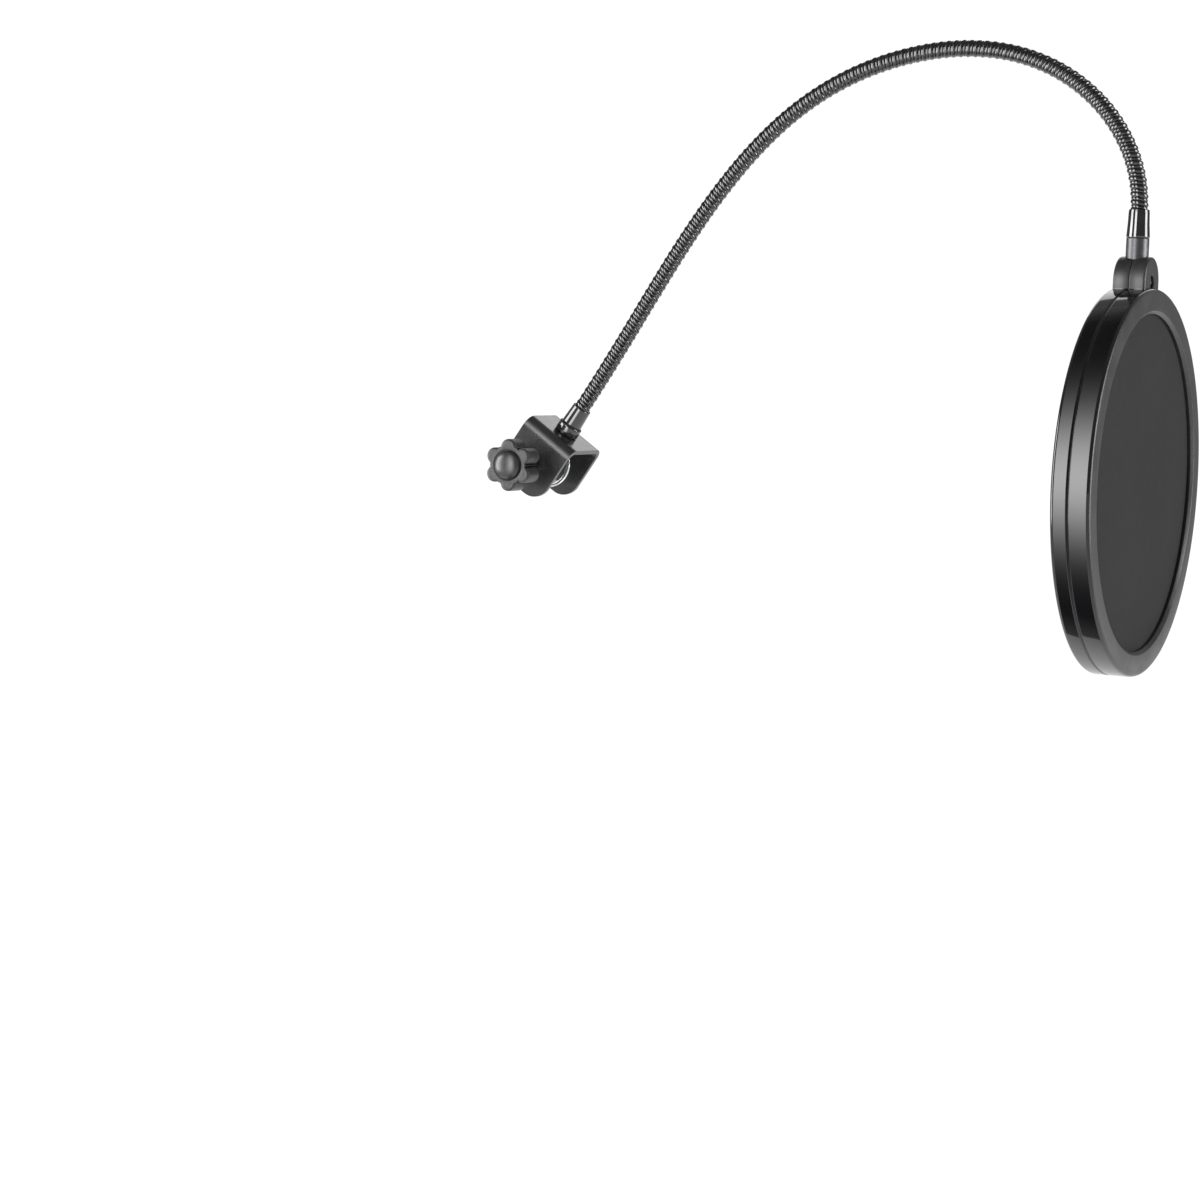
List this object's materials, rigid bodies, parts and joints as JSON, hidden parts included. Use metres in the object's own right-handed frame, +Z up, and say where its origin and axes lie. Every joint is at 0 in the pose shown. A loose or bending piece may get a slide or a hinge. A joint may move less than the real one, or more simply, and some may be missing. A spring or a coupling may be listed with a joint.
{
  "type": "pop filter",
  "caption": "Double-screen pop filter on a flexible ribbed arm, with a screw clamp that grips a tube or edge and holds the screens in front of a microphone.",
  "frame": {"origin": "middle of the clamp's fixed jaw face, on the clamp screw's axis", "axes": "+Y along the clamp screw from the knob to the fixed jaw; +Z up as the screens hang; +X to the front of the screens. The gripped tube slopes down towards +X by 34 degrees in the XZ plane."},
  "size_m": [0.2844, 0.155, 0.2538],
  "materials": {
    "bracket_paint": "semi-gloss black paint on bent steel strip",
    "zinc_screw": "bright zinc plated steel",
    "pad_chrome": "polished chrome plate",
    "knob_plastic": "matte dark grey moulded plastic",
    "cap_plastic": "satin black moulded plastic",
    "black_chrome": "glossy black chrome plate",
    "stem_metal": "satin grey anodised metal",
    "ring_plastic": "glossy black moulded plastic with satin lip and neck",
    "hoop_plastic": "matte black moulded plastic",
    "screen_mesh": "stretched fine knitted nylon mesh",
    "dark_screw": "black oxide steel",
    "arm_coil": "glossy gunmetal wound wire"
  },
  "bodies": {
    "clamp": {"clamp_bracket": "bracket_paint", "base_screw": "zinc_screw", "base_washer": "zinc_screw", "base_collar": "black_chrome", "lower_ferrule": "black_chrome"},
    "pad": {"pressure_pad": "pad_chrome"},
    "screw": {"clamp_screw": "zinc_screw", "knob": "knob_plastic", "knob_cap": "cap_plastic"},
    "arm_01": {"arm_link_01": "arm_coil"},
    "arm_02": {"arm_link_02": "arm_coil"},
    "arm_03": {"arm_link_03": "arm_coil"},
    "arm_04": {"arm_link_04": "arm_coil"},
    "arm_05": {"arm_link_05": "arm_coil"},
    "arm_06": {"arm_link_06": "arm_coil"},
    "arm_07": {"arm_link_07": "arm_coil"},
    "arm_08": {"arm_link_08": "arm_coil"},
    "arm_09": {"arm_link_09": "arm_coil"},
    "arm_10": {"arm_link_10": "arm_coil"},
    "arm_11": {"arm_link_11": "arm_coil"},
    "arm_12": {"arm_link_12": "arm_coil"},
    "arm_13": {"arm_link_13": "arm_coil"},
    "arm_14": {"arm_link_14": "arm_coil", "upper_ferrule": "black_chrome", "stem_sleeve": "stem_metal"},
    "screens": {"front_ring": "ring_plastic", "rear_ring": "ring_plastic", "front_hoop": "hoop_plastic", "rear_hoop": "hoop_plastic", "front_screen": "screen_mesh", "rear_screen": "screen_mesh", "neck_screw": "dark_screw", "neck_nut": "dark_screw"}
  },
  "joints": [
    {"name": "jaw_slide", "type": "slide", "parent": "clamp", "child": "pad", "axis": [0, 1, 0], "range_m": [-0.0095, 0.0095]},
    {"name": "knob_spin", "type": "hinge", "parent": "pad", "child": "screw", "pos_m": [0, 0, 0], "axis": [0, 1, 0], "range_deg": [-3420, 3420]},
    {"name": "arm_bend_01", "type": "hinge", "parent": "clamp", "child": "arm_01", "pos_m": [0.01638, -0.013, 0.02429], "axis": [0, 1, 0], "range_deg": [-20, 12]},
    {"name": "arm_bend_02", "type": "hinge", "parent": "arm_01", "child": "arm_02", "pos_m": [0.03009, -0.013, 0.0452], "axis": [0.8434, 0, -0.5373], "range_deg": [-20, 20]},
    {"name": "arm_bend_03", "type": "hinge", "parent": "arm_02", "child": "arm_03", "pos_m": [0.04334, -0.013, 0.0664], "axis": [0, 1, 0], "range_deg": [-20, 12]},
    {"name": "arm_bend_04", "type": "hinge", "parent": "arm_03", "child": "arm_04", "pos_m": [0.05659, -0.013, 0.0876], "axis": [-0.8434, 0, 0.5373], "range_deg": [-20, 20]},
    {"name": "arm_bend_05", "type": "hinge", "parent": "arm_04", "child": "arm_05", "pos_m": [0.07057, -0.013, 0.10832], "axis": [0, 1, 0], "range_deg": [-20, 12]},
    {"name": "arm_bend_06", "type": "hinge", "parent": "arm_05", "child": "arm_06", "pos_m": [0.08595, -0.013, 0.12802], "axis": [0.7604, 0, -0.6494], "range_deg": [-20, 20]},
    {"name": "arm_bend_07", "type": "hinge", "parent": "arm_06", "child": "arm_07", "pos_m": [0.10346, -0.013, 0.14583], "axis": [0, 1, 0], "range_deg": [-20, 12]},
    {"name": "arm_bend_08", "type": "hinge", "parent": "arm_07", "child": "arm_08", "pos_m": [0.12366, -0.013, 0.16051], "axis": [-0.5075, 0, 0.8616], "range_deg": [-20, 20]},
    {"name": "arm_bend_09", "type": "hinge", "parent": "arm_08", "child": "arm_09", "pos_m": [0.14632, -0.013, 0.17095], "axis": [0, 1, 0], "range_deg": [-20, 12]},
    {"name": "arm_bend_10", "type": "hinge", "parent": "arm_09", "child": "arm_10", "pos_m": [0.17059, -0.013, 0.17678], "axis": [0.1392, 0, -0.9903], "range_deg": [-20, 20]},
    {"name": "arm_bend_11", "type": "hinge", "parent": "arm_10", "child": "arm_11", "pos_m": [0.19553, -0.013, 0.17733], "axis": [0, 1, 0], "range_deg": [-20, 12]},
    {"name": "arm_bend_12", "type": "hinge", "parent": "arm_11", "child": "arm_12", "pos_m": [0.21966, -0.013, 0.1712], "axis": [0.3907, 0, 0.9205], "range_deg": [-20, 20]},
    {"name": "arm_bend_13", "type": "hinge", "parent": "arm_12", "child": "arm_13", "pos_m": [0.24059, -0.013, 0.15774], "axis": [0, 1, 0], "range_deg": [-20, 12]},
    {"name": "arm_bend_14", "type": "hinge", "parent": "arm_13", "child": "arm_14", "pos_m": [0.25546, -0.013, 0.13782], "axis": [-0.8988, 0, -0.4384], "range_deg": [-20, 20]},
    {"name": "screens_swivel", "type": "hinge", "parent": "arm_14", "child": "screens", "pos_m": [0.26104, -0.013, 0.09367], "axis": [0, 0, 1], "continuous": true}
  ],
  "couplings": [
    {"joint": "jaw_slide", "follows": "knob_spin", "m_per_rad": 0.00015915}
  ]
}
